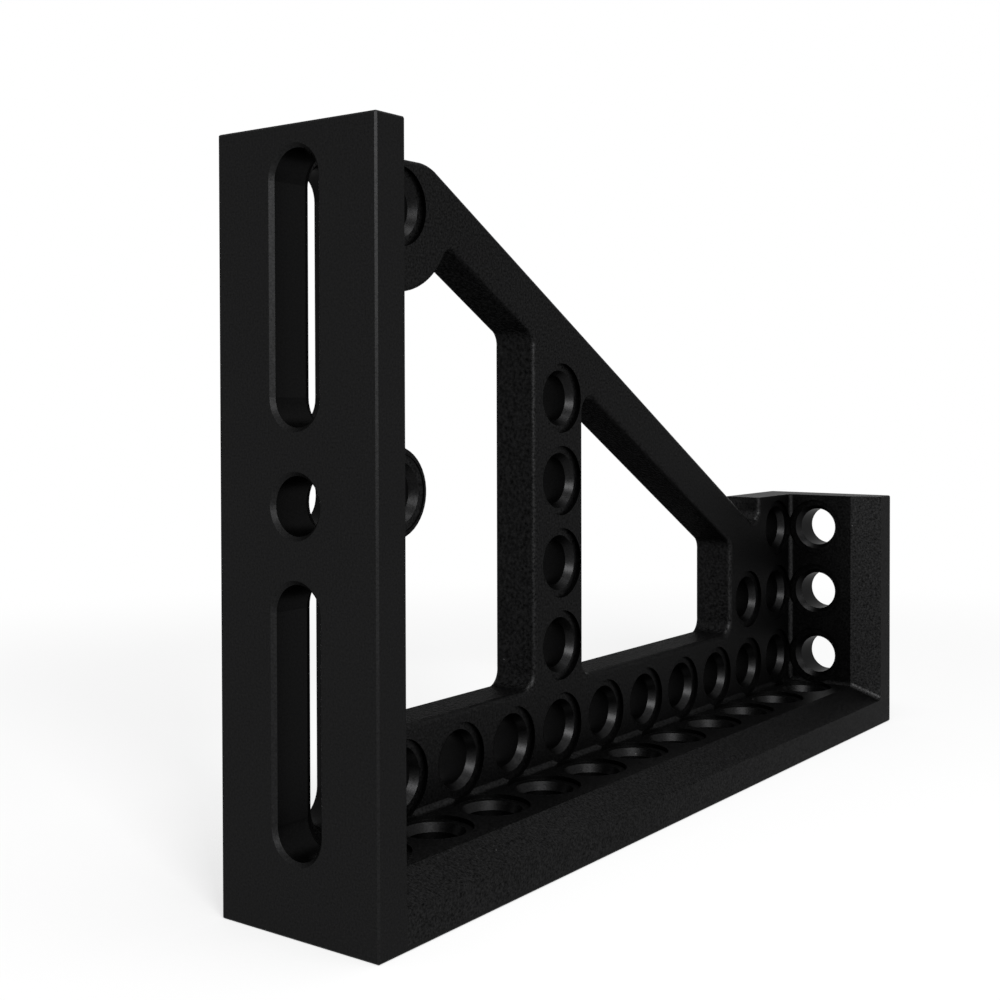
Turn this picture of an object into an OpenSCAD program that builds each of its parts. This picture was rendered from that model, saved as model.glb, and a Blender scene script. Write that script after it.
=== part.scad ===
// One-piece stop and clamping square for a bored welding table: a tall slotted plate, a base,
// a short end flange and an open web that ties the three together along one side.
// X runs from the tall plate to the end flange, Y from the free edges to the web, Z up; it is drawn
// from the lower corner of the plate's free edge, then centred over the middle of the base.

/* [Overall] */
// length over the tall plate and the end flange, mm
length = 600; // [480:1:800]
// height of the tall plate, mm
height = 375; // [300:1:500]
// width over the free edges and the web, mm
width = 100; // [95:1:140]
// height of the end flange, mm
flange_height = 175; // [150:1:225]
// thickness of every wall, mm
wall = 29; // [24:0.5:34]
// thickness of the plate, base and flange at their free edges, mm
rim_edge = 19; // [12:0.5:23]
// width over which the walls thin out to their free edges, mm
rim_taper = 20.4; // [10:0.1:26]

/* [Bores] */
// distance from one bore to the next, mm
pitch = 50; // [46:0.5:62]
// distance of the first bores from the outer faces, mm
first_bore = 50; // [46:0.5:54]
// diameter of the bores and width of the slots, mm
bore_d = 28; // [16:0.1:34]
// width and depth of the chamfer at a bore's outer mouth, mm
bore_chamfer = 2; // [0.5:0.1:3]
// width of the sunk ring round a bore at the inner face, mm
ring_step = 7.1; // [5:0.1:9]
// depth of that sunk ring below the inner face, mm
ring_depth = 2.5; // [1:0.1:4]
// width of the cone between the ring's floor and the bore, mm
seat_step = 2.5; // [1:0.1:3.5]
// depth at which that cone ends below the inner face, mm
seat_depth = 7; // [5:0.1:10]

/* [Web] */
// length of the web's level top beside the tall plate, mm
web_top = 125; // [100:1:150]
// distance from the far end at which the diagonal passes the flange's height, mm
web_toe = 125; // [110:1:150]
// length of the web's level top beside the end flange, mm
pad_length = 82; // [70:1:95]
// width of the diagonal bar, mm
diagonal_width = 29; // [24:0.5:36]
// distance from the bottom row's bores to the top edge of their bar, mm
bar_margin = 28; // [25:0.5:32]
// distance from an upright bar's bores to its edge on the tall plate's side, mm
bar_near = 29.5; // [25:0.5:34]
// distance from an upright bar's bores to its edge on the end flange's side, mm
bar_far = 24; // [22:0.5:30]
// grid number of the upright bar between the windows, counted from the tall plate
rib_column = 5; // [4:1:6]
// radius of the windows' corners, mm
window_corner = 9; // [4:0.5:14]
// radius of the large eye beside the plate's top, mm
top_eye_r = 44.5; // [36:0.5:48]
// radius of the small eye at the plate's middle, mm
mid_eye_r = 25; // [24:0.5:30]
// distance of the small eye's face behind the web's face, mm
mid_eye_inset = 2; // [0.5:0.1:4]
// radius in the notch between the diagonal and the pad, mm
notch_r = 9; // [4:0.5:12]
// radius between the large eye and the diagonal's lower edge, mm
eye_blend_r = 7; // [2:0.5:10]
// radius between the level top and the diagonal, mm
shoulder_r = 30; // [10:1:60]

/* [Edges] */
// width of the broken outer edges, mm
edge_break = 1; // [0.3:0.1:2]
// radius of the fillets in the inner corners, mm
fillet_r = 3; // [1:0.1:5]
// radius on the cast edges of the web, mm
cast_edge = 3; // [1:0.5:4]

/* [Hidden] */
$fn = 64;
body_color = [0.05, 0.052, 0.056];
// how far a cutter reaches past what it cuts
lap = 5;
bore_r = bore_d / 2;
// how far the sunk rings reach past the inner corner beside them
corner_touch = 0.1;
// least width of the ring's floor
ring_min = 1.2;
// how far a rounding's centre stands off, so that its arc meets both sides at a slight angle
soft = 1.15;
// how much larger a corner's arc is than one that touches its sides, so that it crosses them
seam = 0.02;
// how much deeper one of two roundings that run into each other is, so that they cross cleanly
swell = 0.1;
// degrees by which the deeper one of a hollow corner runs on, and what the others run on by, mm
spill = 12;
overrun = 0.6;
shoulder_spill = 4;
// how far a section reaches past the sides that it lies on
skin = 1;
corner_room = min(width - wall - first_bore, first_bore - wall);
ring_r = max(min(bore_r + ring_step, corner_room + corner_touch), bore_r + ring_min);
seat_r = min(bore_r + seat_step, ring_r - ring_min / 2);
web_y = width - wall;
// least distance from the last bore to the plate's or flange's top
top_margin = 24;
grid_end = length - first_bore;
base_count = floor((grid_end - first_bore) / pitch + 0.001) + 1;
plate_count = floor((height - first_bore - top_margin) / pitch + 0.001) + 1;
flange_count = floor((flange_height - first_bore - top_margin) / pitch + 0.001) + 1;
plate_mid = floor(plate_count / 2);
rib_x = grid(rib_column - 1);
slope = (height - flange_height) / (length - web_toe - web_top);
lean = atan(slope);
rib_rows = floor((diagonal_z(rib_x) - diagonal_width - first_bore) / pitch + 0.001) + 1;
toe_column = base_count - 2;
eye = [grid(1), grid(plate_count - 1)];
down = [-sin(lean), -cos(lean)];
along = [cos(lean), -sin(lean)];
eye_depth = (eye - [web_top, height]) * down - diagonal_width;
blend = eye + down * (eye_blend_r - eye_depth)
  + along * sqrt(pow(top_eye_r + eye_blend_r, 2) - pow(eye_blend_r - eye_depth, 2));
pad_x = length - pad_length;
pad_corner = [pad_x, flange_height];
notch = [pad_x, diagonal_z(pad_x)];
shoulder = [web_top, height];
shoulder_arc = arc_points([[0, height], shoulder, notch], 1, shoulder_r);
notch_arc = arc_points([shoulder, notch, pad_corner], 1, notch_r);
left_loop = window_corners(grid(0) + bar_far, rib_x - bar_near);
right_loop = window_corners(rib_x + bar_far, grid(toe_column) - bar_near);

// position of bore number i, counted from 0
function grid(i) = first_bore + i * pitch;
// height of the diagonal's top edge at x
function diagonal_z(x) = height - (x - web_top) * slope;
// height of the diagonal bar's lower edge at x
function underside_z(x) = diagonal_z(x) - diagonal_width / cos(lean);
function unit(v) = v / norm(v);
function turn_between(u, v) = acos(u * v);
// end points of the arc that rounds corner i of a loop, and its centre
function arc_points(loop, i, r) =
  let (p = loop[i])
  let (u = unit(loop[(i + len(loop) - 1) % len(loop)] - p))
  let (v = unit(loop[(i + 1) % len(loop)] - p))
  let (reach = r / tan(turn_between(u, v) / 2))
  [p + u * reach, p + v * reach, p + unit(u + v) * r / sin(turn_between(u, v) / 2)];

// loop of straight edges with every corner rounded, all corners pointing outwards
module rounded_loop(loop, r) {
  corners = [for (i = [0 : len(loop) - 1]) arc_points(loop, i, r)];
  polygon([for (c = corners) each [c[0], c[1]]]);
  for (c = corners) translate(c[2]) circle(r);
}

// what lies between a corner of the web's outline and the arc that rounds it, and a little past
// the corner
module corner_fill(corner, arc, r) {
  difference() {
    polygon([arc[0], corner + unit(corner - arc[2]) * skin, arc[1], arc[2]]);
    translate(arc[2]) circle(r + seam);
  }
}

// section of a thinning wall: across its width, then its thickness
rim = [[0, 0], [width, 0], [width, wall], [rim_taper, wall], [0, rim_edge]];

module along_x(run) {
  rotate([90, 0, 90]) linear_extrude(run) children();
}

module base_wall() {
  along_x(length) polygon(rim);
}

module plate_wall() {
  linear_extrude(height) polygon([for (p = rim) [p[1], p[0]]]);
}

module flange_wall() {
  linear_extrude(flange_height) polygon([for (p = rim) [length - p[1], p[0]]]);
}

// sets a drawing in the web's plane, with its depth measured from the back face forward
module in_web(depth) {
  translate([0, width, 0]) rotate([90, 0, 0]) linear_extrude(depth) children();
}

// corners of a window between two upright edges, under the diagonal bar
function window_corners(left, right) =
  let (low = grid(0) + bar_margin)
  [[left, low], [right, low], [right, underside_z(right)], [left, underside_z(left)]];

// what fills the corner between the large eye and the diagonal's lower edge
module eye_blend() {
  difference() {
    polygon([
      eye + unit(blend - eye) * top_eye_r, blend, blend - down * (eye_blend_r + skin),
      eye - down * (eye_depth + skin) + along * sqrt(pow(top_eye_r, 2) - pow(eye_depth + skin, 2))
    ]);
    translate(blend) circle(eye_blend_r + seam);
  }
}

module left_window() {
  difference() {
    rounded_loop(left_loop, window_corner);
    translate(eye) circle(top_eye_r);
    eye_blend();
  }
}

module right_window() {
  rounded_loop(right_loop, window_corner);
}

// section of what rounds an edge or fills an inner corner, between one side along x and one at the
// given angle to it
module round_section(size, angle = 90) {
  half = angle / 2;
  foot = soft * size * [cos(half), sin(half)] + skin * [-sin(half), cos(half)];
  centre = soft * size / cos(half);
  rotate(half) difference() {
    polygon([[-skin / sin(half), 0], [foot[0], -foot[1]], [centre, 0], foot]);
    translate([centre, 0]) circle(norm([centre - size * cos(half), size * sin(half)]));
  }
}

// rounds a straight edge of the web, with the open side on the left of the way from a to b
module edge_run(a, b, size = cast_edge, before = overrun, after = overrun) {
  way = b - a;
  end = b + unit(way) * after;
  translate([end[0], end[1], 0]) rotate([0, 0, atan2(way[1], way[0]) + 180])
    rotate([90, 0, 90]) linear_extrude(norm(way) + before + after) round_section(size);
}

// rounds the edge of a hollow corner, a little deeper than the straight edges that run into it
module edge_turn(centre, r, from, to, size = cast_edge + swell) {
  begin = from - centre;
  translate([centre[0], centre[1], 0]) rotate([0, 0, atan2(begin[1], begin[0]) - spill])
    rotate_extrude(angle = turn_between(unit(begin), unit(to - centre)) + 2 * spill)
    translate([r, 0]) round_section(size);
}

// rounds the edge of a disc or of a corner that stands out, from one angle to another
module disc_edge(centre, r, from, to) {
  translate([centre[0], centre[1], 0]) rotate([0, 0, from]) rotate_extrude(angle = to - from)
    translate([r, 0]) mirror([1, 0]) round_section(cast_edge);
}

module corner_edge(loop, i) {
  c = arc_points(loop, i, window_corner);
  edge_turn(c[2], window_corner, c[0], c[1]);
}

module side_edge(loop, i) {
  next = (i + 1) % len(loop);
  edge_run(arc_points(loop, i, window_corner)[1], arc_points(loop, next, window_corner)[0]);
}

module right_window_edge() {
  for (i = [0 : 3]) {
    corner_edge(right_loop, i);
    side_edge(right_loop, i);
  }
}

// the same for the window that the large eye cuts into
module left_window_edge() {
  touch = eye + unit(blend - eye) * top_eye_r;
  eye_start = 180 + acos((eye[0] - left_loop[0][0]) / top_eye_r) - overrun;
  eye_end = 360 + atan2(touch[1] - eye[1], touch[0] - eye[0]) + overrun;
  for (i = [0 : 2]) corner_edge(left_loop, i);
  for (i = [0 : 1]) side_edge(left_loop, i);
  edge_run(arc_points(left_loop, 2, window_corner)[1], blend - down * eye_blend_r, after = 2 * overrun);
  edge_turn(blend, eye_blend_r, blend - down * eye_blend_r, touch);
  difference() {
    edge_run([left_loop[0][0], eye[1]], arc_points(left_loop, 0, window_corner)[0]);
    translate([eye[0], eye[1], -lap]) cylinder(h = 4 * lap, r = top_eye_r - swell);
  }
  disc_edge(eye, top_eye_r, eye_start, eye_end);
}

// the same along the web's top: level, shoulder, diagonal, notch and the pad's side
module top_edge() {
  edge_run([wall, height], shoulder_arc[0], cast_edge + swell, 0, shoulder_spill);
  disc_edge(shoulder_arc[2], shoulder_r + seam, 90 - lean - overrun, 90 + overrun);
  edge_run(shoulder_arc[1], notch_arc[0], cast_edge + swell, shoulder_spill, overrun);
  edge_turn(notch_arc[2], notch_r, notch_arc[0], notch_arc[1], cast_edge + 2 * swell);
  edge_run(notch_arc[1], pad_corner, cast_edge + swell, overrun, lap);
}

module both_faces() {
  children();
  translate([0, 0, wall]) mirror([0, 0, 1]) children();
}

module web_edges() {
  translate([0, width, 0]) rotate([90, 0, 0]) both_faces() {
    left_window_edge();
    right_window_edge();
    top_edge();
  }
}

module web_outline() {
  difference() {
    polygon([[0, 0], [length, 0], [length, flange_height], pad_corner, notch, shoulder, [0, height]]);
    corner_fill(shoulder, shoulder_arc, shoulder_r);
  }
  corner_fill(notch, notch_arc, notch_r);
}

// half section of the small eye, from its middle out, over its thickness
module small_eye_section(reach) {
  thick = wall - mid_eye_inset;
  difference() {
    square([reach, thick]);
    translate([reach, 0]) mirror([1, 0]) round_section(cast_edge);
    translate([reach, thick]) mirror([1, 0]) mirror([0, 1]) round_section(cast_edge);
  }
}

module small_eye() {
  neck = mid_eye_r - swell;
  translate([grid(1), width, grid(plate_mid)]) rotate([90, 0, 0]) {
    rotate_extrude() small_eye_section(mid_eye_r);
    translate([overrun, 0, 0]) rotate([90, 0, -90]) linear_extrude(pitch) {
      small_eye_section(neck);
      mirror([1, 0]) small_eye_section(neck);
    }
  }
}

module web() {
  difference() {
    in_web(wall) difference() {
      web_outline();
      left_window();
      right_window();
    }
    web_edges();
  }
  small_eye();
}

// fillets where the web meets the base, plate and flange, and where those two meet the base
module inner_fillets() {
  inner_x = length - wall;
  // mirrored so that each section opens towards the inner space
  translate([wall, web_y, wall]) mirror([0, 1, 0]) along_x(length - 2 * wall) round_section(fillet_r);
  translate([wall, web_y, wall]) mirror([0, 1, 0]) linear_extrude(height - wall) round_section(fillet_r);
  translate([inner_x, web_y, wall]) rotate([0, 0, 180]) linear_extrude(flange_height - wall)
    round_section(fillet_r);
  translate([0, web_y, wall]) rotate([90, 0, 0]) linear_extrude(web_y - rim_taper) {
    translate([wall, 0]) round_section(fillet_r);
    translate([inner_x, 0]) mirror([1, 0]) round_section(fillet_r);
  }
  mitre_fillet();
  translate([length, 0, 0]) mirror([1, 0, 0]) mitre_fillet();
}

// the fillet between the base and the plate, where both thin out towards their free edges
module mitre_fillet() {
  fall = wall - rim_edge;
  way = unit([-fall, -rim_taper, -fall]);
  side = unit([1, 0, 0] - way[0] * way);
  spread = unit([-1, 0, 1]);
  middle = cross(spread, way);
  angle = 2 * acos(side * middle);
  difference() {
    multmatrix([for (i = [0 : 2]) [middle[i], spread[i], way[i], [wall, rim_taper, wall][i]]])
      translate([0, 0, -overrun]) linear_extrude(norm([fall, rim_taper, fall]) + lap)
      rotate(-angle / 2) round_section(fillet_r, angle);
    translate([0, -2 * lap, 0]) cube([2 * wall, 2 * lap, 2 * wall]);
  }
}

// cutter that breaks a sharp edge, along +Z from the edge's start
module edge_cut(run) {
  translate([0, 0, -lap]) linear_extrude(run + 2 * lap)
    rotate(45) square(edge_break * sqrt(2), center = true);
}

module broken_edges() {
  for (y = [0, width]) {
    for (x = [0, length]) translate([x, y, 0]) edge_cut(height);
    translate([0, y, 0]) rotate([0, 90, 0]) edge_cut(length);
    translate([0, y, height]) rotate([0, 90, 0]) edge_cut(wall - lap);
    translate([pad_x, y, flange_height]) rotate([0, 90, 0]) edge_cut(pad_length);
  }
  for (p = [[0, 0], [length, 0], [0, height], [length, flange_height]])
    translate([p[0], 0, p[1]]) rotate([-90, 0, 0]) edge_cut(width);
}

// half section of a bore's cutter: the outer mouth at the bottom, the inner face at the top
bore_section = [
  [0, -lap], [bore_r + bore_chamfer + lap, -lap], [bore_r, bore_chamfer], [bore_r, wall - seat_depth],
  [seat_r, wall - ring_depth], [ring_r, wall - ring_depth], [ring_r, wall + fillet_r], [0, wall + fillet_r]
];

module bore() {
  rotate_extrude() polygon(bore_section);
}

// slot of the same section, along +Y
module slot(reach) {
  bore();
  translate([0, reach, 0]) bore();
  translate([0, reach, 0]) rotate([90, 0, 0]) linear_extrude(reach) {
    polygon(bore_section);
    mirror([1, 0]) polygon(bore_section);
  }
}

// pattern of the tall plate, repeated beside it in the web: slot, round bore, slot
module slotted_column() {
  translate([0, grid(0), 0]) slot((plate_mid - 1) * pitch);
  translate([0, grid(plate_mid), 0]) bore();
  translate([0, grid(plate_mid + 1), 0]) slot((plate_count - plate_mid - 2) * pitch);
}

// turns a cutter so that it enters from the plate's outer face
module from_plate() {
  rotate([90, 0, 90]) children();
}

// turns a cutter so that it enters from the flange's outer face
module from_flange() {
  translate([length, 0, 0]) rotate([90, 0, -90]) children();
}

// turns a cutter so that it enters from the web's back face
module from_back() {
  translate([0, width, 0]) rotate([90, 0, 0]) children();
}

module base_bores() {
  for (i = [0 : base_count - 1]) translate([grid(i), first_bore, 0]) bore();
}

module plate_bores() {
  from_plate() translate([first_bore, 0, 0]) slotted_column();
}

module flange_bores() {
  from_flange() for (i = [0 : flange_count - 1]) translate([-first_bore, grid(i), 0]) bore();
}

module web_bores() {
  from_back() {
    translate([grid(0), 0, 0]) slotted_column();
    for (i = [1 : base_count - 1]) translate([grid(i), grid(0), 0]) bore();
    for (k = [1 : rib_rows - 1]) translate([rib_x, grid(k), 0]) bore();
    for (k = [1 : flange_count - 1]) translate([grid(base_count - 1), grid(k), 0]) bore();
    translate([grid(toe_column), grid(1), 0]) bore();
    translate([grid(1), grid(plate_mid), 0]) bore();
    translate([grid(1), grid(plate_count - 1), 0]) bore();
  }
}

module clamping_angle() {
  color(body_color) translate([-length / 2, -width / 2, 0]) {
    difference() {
      union() {
        base_wall();
        plate_wall();
        flange_wall();
        web();
        inner_fillets();
      }
      broken_edges();
      base_bores();
      plate_bores();
      flange_bores();
      web_bores();
    }
  }
}

clamping_angle();
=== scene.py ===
import math

import bpy
from mathutils import Euler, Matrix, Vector


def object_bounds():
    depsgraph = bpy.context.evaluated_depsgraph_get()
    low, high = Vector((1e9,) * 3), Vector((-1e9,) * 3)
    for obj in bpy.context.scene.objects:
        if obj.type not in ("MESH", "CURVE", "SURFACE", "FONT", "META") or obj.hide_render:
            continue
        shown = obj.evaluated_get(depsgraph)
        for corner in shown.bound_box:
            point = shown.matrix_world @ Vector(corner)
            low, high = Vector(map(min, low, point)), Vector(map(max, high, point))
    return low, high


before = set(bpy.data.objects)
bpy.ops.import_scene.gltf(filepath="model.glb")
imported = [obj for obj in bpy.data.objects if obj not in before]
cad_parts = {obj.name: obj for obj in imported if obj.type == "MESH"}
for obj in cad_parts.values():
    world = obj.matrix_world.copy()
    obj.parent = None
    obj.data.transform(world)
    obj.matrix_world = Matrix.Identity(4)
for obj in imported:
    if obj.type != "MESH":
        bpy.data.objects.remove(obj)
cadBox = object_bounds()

endX, backY = cadBox[1][:2]  # m; the casting reaches as far the other way
print("frame loaded:", list(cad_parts))


class Sock:
    # one output of a material's node: sums and comparisons on it add the Math nodes that work them out
    def __init__(self, socket):
        self.socket = socket

    def node(self, kind, settings=None, values=None, output=0):
        # any node of this output's tree: its settings first, then its inputs' values or links
        tree = self.socket.id_data
        made = tree.nodes.new(kind)
        for name, value in (settings or {}).items():
            setattr(made, name, value)
        for name, value in (values or {}).items():
            if isinstance(value, Sock):
                tree.links.new(value.socket, made.inputs[name])
            else:
                made.inputs[name].default_value = value
        return Sock(made.outputs[output])

    def maths(self, operation, *others):
        # this output comes first, then the others
        return self.node("ShaderNodeMath", {"operation": operation}, dict(enumerate([self, *others])))

    def vectors(self, operation, *others, output=0):
        # the same with vectors
        values = dict(enumerate([self, *others]))
        return self.node("ShaderNodeVectorMath", {"operation": operation}, values, output)

    def __add__(self, other):
        return self.maths("ADD", other)

    def __radd__(self, other):
        return self.maths("ADD", other)

    def __sub__(self, other):
        return self.maths("SUBTRACT", other)

    def __rsub__(self, other):
        return self.maths("MULTIPLY_ADD", -1.0, other)

    def __mul__(self, other):
        return self.maths("MULTIPLY", other)

    def __rmul__(self, other):
        return self.maths("MULTIPLY", other)

    def __lt__(self, other):
        return self.maths("LESS_THAN", other)

    def __gt__(self, other):
        return self.maths("GREATER_THAN", other)

    def __abs__(self):
        return self.maths("ABSOLUTE")

    def ramp(self, low, high, atLow=0.0, atHigh=1.0):
        # atLow up to low, atHigh from high on, and a smooth step between
        return self.node("ShaderNodeMapRange", {"interpolation_type": "SMOOTHSTEP"},
                         {"Value": self, "From Min": low, "From Max": high,
                          "To Min": atLow, "To Max": atHigh})

    def join(self, *parts):
        # a vector of up to three numbers
        return self.node("ShaderNodeCombineXYZ", {}, dict(enumerate(parts)))

    def split(self):
        # a vector's three numbers
        apart = self.node("ShaderNodeSeparateXYZ", {}, {0: self})
        return [Sock(part) for part in apart.socket.node.outputs]

    def length(self):
        return self.vectors("LENGTH", output=1)

    def blend(self, under, top):
        # a colour between two others: under where this output is 0, top where it is 1
        colours = {0: self, 6: under, 7: top}  # the node's first sockets are for numbers and vectors
        return self.node("ShaderNodeMix", {"data_type": "RGBA"}, colours, 2)

    def over(self, under, top):
        # the same with two surfaces
        return self.node("ShaderNodeMixShader", {}, {0: self, 1: under, 2: top})


def newMaterial(name):
    # an empty material, and the input that takes its surface
    material = bpy.data.materials.new(name)
    material.use_nodes = True
    tree = material.node_tree
    tree.nodes.clear()
    return material, tree.nodes.new("ShaderNodeOutputMaterial").inputs["Surface"]


# the web's two windows with their rounded edges, in m
windows = {
    "sides": [(-0.2290, -0.0766), (-0.0288, 0.1734)],  # x of each one's two sides
    "foot": 0.0752,  # z
    "head": 0.2450,  # z of the sloped upper edge, at x = 0
    "slope": -0.5714,  # and its rise along x
    "eyes": [(-0.2, 0.2), (-0.2, 0.35)],  # x and z of the two bores that stand in the left one
    "eyeRadius": (0.0220, 0.0230),
    "soft": 0.0002,
}


def inWindows(x, z):
    # 1 in the windows and on their rounded edges, 0 on the web's faces and in its bores
    soft = windows["soft"]
    share = 0.0
    for low, high in windows["sides"]:
        share = x.ramp(low - soft, low + soft) * x.ramp(high - soft, high + soft, 1.0, 0.0) + share
    share = share * z.ramp(windows["foot"] - soft, windows["foot"] + soft)
    aboveHead = z - x * windows["slope"] - windows["head"]
    share = share * aboveHead.ramp(-soft, soft, 1.0, 0.0)
    for eyeX, eyeZ in windows["eyes"]:
        share = share * x.join(x - eyeX, z - eyeZ).length().ramp(*windows["eyeRadius"])
    return share


# the faces inside the angle, in m; each pair is the stretch over which they set in
inner = {
    "skin": (0.0022, 0.0030),  # below an outer face
    "plateEdge": (0.0195, 0.0200),  # how thick the plate is at its free edge
    "edgeSkin": (0.0002, 0.0010),  # below that edge
    "taper": (0.0200, 0.0210),  # how wide the tapered strips are, from the free edges
    "flange": (0.2600, 0.2700),  # x
    "flangeFoot": (0.0295, 0.0300),  # z
}


def innerFaces(x, y, z):
    # two shares: 1 on the faces inside the angle, and 1 on those of them that get painted shade, which
    # leaves out the tapered strips on plate and base
    skin = inner["skin"]
    inside = (endX - abs(x)).ramp(*skin) * (backY - y).ramp(*skin) * z.ramp(*skin)
    ahead = y + backY
    plateEdge = (x + endX).ramp(*inner["plateEdge"], 1.0, 0.0) * ahead.ramp(*inner["edgeSkin"], 1.0, 0.0)
    inside = inside * (1.0 - plateEdge)
    onFlange = x.ramp(*inner["flange"]) * z.ramp(*inner["flangeFoot"])
    return inside, inside * ahead.ramp(*inner["taper"]).maths("MAXIMUM", onFlange)


# the bores, all on one grid, in m; depths count from a wall's outer face
bores = {
    "pitch": 0.05,
    "middle": 0.2,  # z of the bore between the two slots of a column
    "slotEnds": (0.05, 0.15),  # how far from there a slot begins and ends
    "columnEdge": -0.225,  # x on the right of the web's slots
    "farthest": 0.27,  # x that base and web have bores up to, both ways
    "aboveBase": 0.0285,  # z that web and flange have bores from
    "webHead": 0.2710,  # z that the web has bores up to, at x = 0; it slopes as the windows do
    "endHead": 0.1710,  # and where it stops sloping
    "reach": 0.0216,  # radius that holds all that is turned
    "boreRadius": 0.0146,
    "seatRadius": 0.0168,
    "ringRadius": 0.0205,
    "chamferDepth": 0.0021,
    "seatDepth": (0.0219, 0.0221),
    "ringDepth": 0.0267,
    "wall": 0.0289,
    "seatLean": (0.77, 0.64),  # how a cone with a worn rim faces: towards the axis, and out along it
}


def turnedFaces(x, y, z, windowShare):
    # where a point lies in the bore around it: 1 if there is one, its depth, its distance from the axis,
    # the way to the axis, the way out along it, and 1 beside the slots
    half = bores["pitch"] / 2

    def offGrid(value):
        return value.maths("WRAP", -half, half)

    along = abs(z - bores["middle"])
    slotStart, slotEnd = bores["slotEnds"]
    slotted = (along > slotStart) * (along < slotEnd)
    inColumn = slotted * (x < bores["columnEdge"])
    head = (x * windows["slope"] + bores["webHead"]).maths("MAXIMUM", bores["endHead"])
    between = abs(x) < bores["farthest"]
    raised = z > bores["aboveBase"]
    # for each wall: the way from the nearest axis, the depth, the way inwards, and 1 where it has bores
    web = (x.join(offGrid(x), 0.0, offGrid(z) * (1.0 - inColumn)), backY - y, (0, -1, 0),
           between * raised * (z < head) * (1.0 - windowShare))
    plate = (x.join(0.0, y, offGrid(z) * (1.0 - slotted)), x + endX, (1, 0, 0), 1.0)
    flange = (x.join(0.0, y, offGrid(z)), endX - x, (-1, 0, 0), raised)
    base = (x.join(offGrid(x), y, 0.0), z, (0, 0, 1), between)
    found, depth, offAxis, outward = 0.0, 0.0, (0.0, 0.0, 0.0), (0.0, 0.0, 0.0)
    for arm, deep, inwards, bored in (web, plate, flange, base):
        here = (arm.length() < bores["reach"]) * bored
        here = here * (deep > bores["chamferDepth"]) * (deep < bores["wall"])
        found, depth = here + found, deep * here + depth
        offAxis = arm.vectors("MULTIPLY_ADD", here, offAxis)
        outward = here.vectors("MULTIPLY_ADD", inwards, outward)
    toAxis = offAxis.vectors("NORMALIZE").vectors("MULTIPLY", (-1.0, -1.0, -1.0))
    return found, depth, offAxis.length(), toAxis, outward, inColumn


# the casting's finishes: a near black that shines like metal
iron = {
    "colour": (0.0122, 0.0122, 0.0124),
    # a finish's colour against that one, how it shines at a slant, how rough it is
    "ground": (1.0, 0.54, 0.44),  # the flat faces
    "cast": (0.72, 0.40, 0.52),  # the windows' walls; their darker colour and weaker shine at a slant are partly the rough cast skin, partly painted shade
    "bored": (0.42, 0.60, 0.42),  # bores, slots and the sunk rings' walls; their low colour is painted shade inside the bores
    "seat": (0.85, 0.54, 0.36),  # the cones between bore and ring
    "castTurn": (0.10, 0.50),  # how far a rounded edge faces sideways where cast becomes ground
    "brightest": 3.0,  # the lightest grain's colour against its finish's
    # grain: sizes and heights in m, and how much a colour or a roughness changes with it
    "fineGrain": 0.0010,
    "fineContrast": 1.3,
    "fineHeight": 0.00003,
    "fineRoughness": 0.12,
    "coarseGrain": 0.0014,  # on the inner faces
    "coarseContrast": 3.0,
    "coarseHeight": 0.00006,
    "sandGrain": 0.0020,  # on the cast faces
    "sandContrast": 2.7,
    "sandHeight": 0.00080,
    "cloudSize": 0.07,
    "cloudContrast": 0.16,
    "cloudRoughness": 0.08,
    "innerShade": 0.85,  # painted shade: the inner faces' colour against the outer ones'
    "slotShade": 1.45,  # the slots' walls against the round bores': they get less of the bores' painted shade
    "speckSpacing": 0.021,
    "speckRadius": (0.000245, 0.00035),
    "speckColour": (0.3, 0.3, 0.3, 1),
    "speckShare": 0.3,
}


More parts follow.
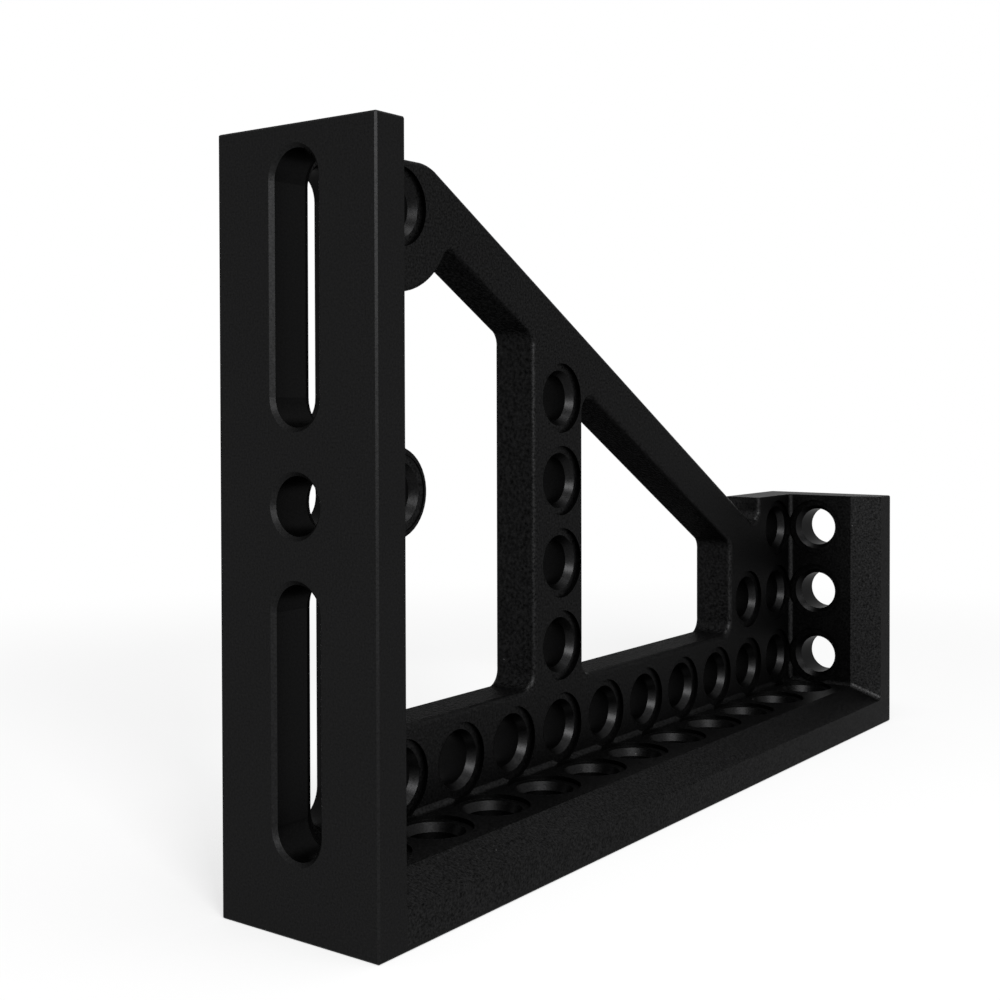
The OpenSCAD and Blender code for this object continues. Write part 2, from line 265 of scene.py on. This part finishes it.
def nitridedIron():
    material, surfaceInput = newMaterial("nitridedIron")
    tree = material.node_tree
    coordinates = tree.nodes.new("ShaderNodeTexCoord").outputs
    place, facing = Sock(coordinates["Object"]), Sock(coordinates["Normal"])
    x, y, z = place.split()
    inside, shaded = innerFaces(x, y, z)
    windowShare = inWindows(x, z)
    found, depth, radius, toAxis, outward, inColumn = turnedFaces(x, y, z, windowShare)

    # which finish shows where
    cast = windowShare * abs(facing.split()[1]).ramp(*iron["castTurn"], 1.0, 0.0)
    onSeat = depth.ramp(*bores["seatDepth"])
    bored = found * (radius < bores["boreRadius"]) * (1.0 - onSeat)
    seat = found * (radius < bores["seatRadius"]) * onSeat
    ringWall = found * (radius > bores["ringRadius"]) * (depth > bores["ringDepth"])

    def grains(size, detail=2.0, roughness=0.6):
        return place.node("ShaderNodeTexNoise", {}, {"Vector": place, "Scale": 1 / size,
                                                     "Detail": detail, "Roughness": roughness})

    fine = grains(iron["fineGrain"])
    coarse = grains(iron["coarseGrain"])
    sand = grains(iron["sandGrain"], roughness=0.5)
    cloud = grains(iron["cloudSize"], detail=4.0, roughness=0.5)
    spots = place.node("ShaderNodeTexVoronoi", {"feature": "F1"},
                       {"Vector": place, "Scale": 1 / iron["speckSpacing"]})
    speck = (spots * iron["speckSpacing"]).ramp(*iron["speckRadius"], 1.0, 0.0) * inside
    uneven = (cloud - 0.5) * iron["cloudRoughness"] + (fine - 0.5) * iron["fineRoughness"]

    def surface(kind, shade, height, normal=None):
        # shade multiplies the finish's colour, and height is the relief of its grain, in m
        share, slant, roughness = iron[kind]
        lightest = (*[part * share * iron["brightest"] for part in iron["colour"]], 1)
        colour = (shade * (1 / iron["brightest"])).blend((0, 0, 0, 1), lightest)
        relief = {"Height": height * 1000, "Distance": 0.001}  # the Bump node takes it in mm
        if normal:
            relief["Normal"] = normal
        return place.node("ShaderNodeBsdfPrincipled", {}, {
            "Base Color": (speck * iron["speckShare"]).blend(colour, iron["speckColour"]),
            "Metallic": 1.0,
            "Specular Tint": (slant, slant, slant, 1.0),
            "Roughness": uneven + roughness,
            "Normal": place.node("ShaderNodeBump", {}, relief),
        })

    even = (fine - 0.5) * iron["fineContrast"] + (cloud - 0.5) * iron["cloudContrast"] + 1.0
    mottled = even + (coarse - 0.5) * iron["coarseContrast"] * inside
    sandy = (sand - 0.5) * iron["sandContrast"] + 1.0
    fineHeight = fine * iron["fineHeight"]
    innerHeight = coarse * inside * iron["coarseHeight"]
    # painted shade: the inner faces and the flange are darkened where the angle shades them
    innerPaintedShade = 1.0 - shaded * (1.0 - iron["innerShade"])
    # the slots' walls get less of the bores' painted shade
    slotPaintedShadeLift = inColumn * (iron["slotShade"] - 1.0) + 1.0
    # bores and cones take their light from their axis, so that their facets don't show
    towards, outwards = bores["seatLean"]
    coneFacing = toAxis.vectors("MULTIPLY_ADD", (towards,) * 3, outward.vectors("MULTIPLY", (outwards,) * 3))

    whole = surface("ground", mottled * innerPaintedShade, fineHeight + innerHeight)
    # painted shade: the sunk rings' walls and the bores' walls take the dark bored colour, lifted in the
    # slots
    whole = ringWall.over(whole, surface("bored", even, fineHeight))
    whole = bored.over(whole, surface("bored", even * slotPaintedShadeLift, fineHeight, toAxis))
    whole = seat.over(whole, surface("seat", even, fineHeight, coneFacing))
    # the windows' walls: the cast skin's own colour, darkened further as painted shade
    whole = cast.over(whole, surface("cast", sandy, sand * iron["sandHeight"]))
    tree.links.new(whole.socket, surfaceInput)
    return material


casting = bpy.data.objects["clamping_angle"]
finish = nitridedIron()
for materialSlot in casting.material_slots:
    materialSlot.material = finish
print("casting finished")

studio = {
    "floorSize": 40.0,
    "floorColour": (0.86, 0.86, 0.86),
    "floorWhite": (0.7, 1.0),  # how much of the floor shows as plain white: near the angle, far off
    "whiteFrom": (0.45, 1.15),  # m from the angle's middle, where that changes
    "worldLight": 0.35,
    # place, size in m, power in W
    "lamps": {
        "front": ((-1.45, -1.95, 1.15), 0.7, 62.0),
        "top": ((-0.2, -0.4, 2.3), 1.1, 28.0),
    },
    "aim": (0.0, 0.0, 0.17),
}


def shownRays(tree):
    # 1 for what the camera sees directly, in a reflection or through something clear
    rays = tree.nodes.new("ShaderNodeLightPath").outputs
    direct, mirrored, through = (Sock(rays[f"Is {kind} Ray"])
                                 for kind in ("Camera", "Glossy", "Transmission"))
    return (direct + mirrored + through).maths("MINIMUM", 1.0)


def makeFloor():
    half = studio["floorSize"] / 2
    corners = [(-half, -half, 0), (half, -half, 0), (half, half, 0), (-half, half, 0)]
    mesh = bpy.data.meshes.new("floor")
    mesh.from_pydata(corners, [], [(0, 1, 2, 3)])
    floor = bpy.data.objects.new("floor", mesh)
    bpy.context.collection.objects.link(floor)

    material, surfaceInput = newMaterial("paleFloor")
    tree = material.node_tree
    away = Sock(tree.nodes.new("ShaderNodeTexCoord").outputs["Object"]).length()
    share = shownRays(tree) * away.ramp(*studio["whiteFrom"], *studio["floorWhite"])
    paint = share.node("ShaderNodeBsdfDiffuse", {}, {"Color": (*studio["floorColour"], 1)})
    white = share.node("ShaderNodeEmission", {}, {"Color": (1, 1, 1, 1), "Strength": 1.0})
    tree.links.new(share.over(paint, white).socket, surfaceInput)
    mesh.materials.append(material)


def makeWorld():
    world = bpy.data.worlds.new("studio")
    bpy.context.scene.world = world
    world.use_nodes = True
    tree = world.node_tree
    tree.nodes.clear()
    light = shownRays(tree) * (1.0 - studio["worldLight"]) + studio["worldLight"]
    sky = light.node("ShaderNodeBackground", {}, {"Color": (1, 1, 1, 1), "Strength": light})
    output = tree.nodes.new("ShaderNodeOutputWorld")
    tree.links.new(sky.socket, output.inputs["Surface"])


def makeLamps():
    for name, (spot, size, power) in studio["lamps"].items():
        data = bpy.data.lights.new(name, "AREA")
        data.size, data.energy = size, power
        lamp = bpy.data.objects.new(name, data)
        lamp.location = spot
        lamp.rotation_euler = (Vector(studio["aim"]) - Vector(spot)).to_track_quat("-Z", "Y").to_euler()
        bpy.context.collection.objects.link(lamp)


makeFloor()
makeWorld()
makeLamps()
print("studio lit")

# the camera, where the photo's stood: m, degrees, mm, and a share of the picture's width
view = {
    "place": (-0.7704, -0.4631, 0.2472),
    "turn": (89.032, 0.136, -53.628),
    "lens": 51.52,
    "shiftY": -0.0729,
}
camera = bpy.data.objects.new("camera", bpy.data.cameras.new("camera"))
camera.location = view["place"]
camera.rotation_euler = Euler([math.radians(angle) for angle in view["turn"]])
camera.data.lens = view["lens"]
camera.data.shift_y = view["shiftY"]
bpy.context.collection.objects.link(camera)
bpy.context.scene.camera = camera
bpy.context.scene.view_settings.view_transform = "Standard"
print("camera placed")
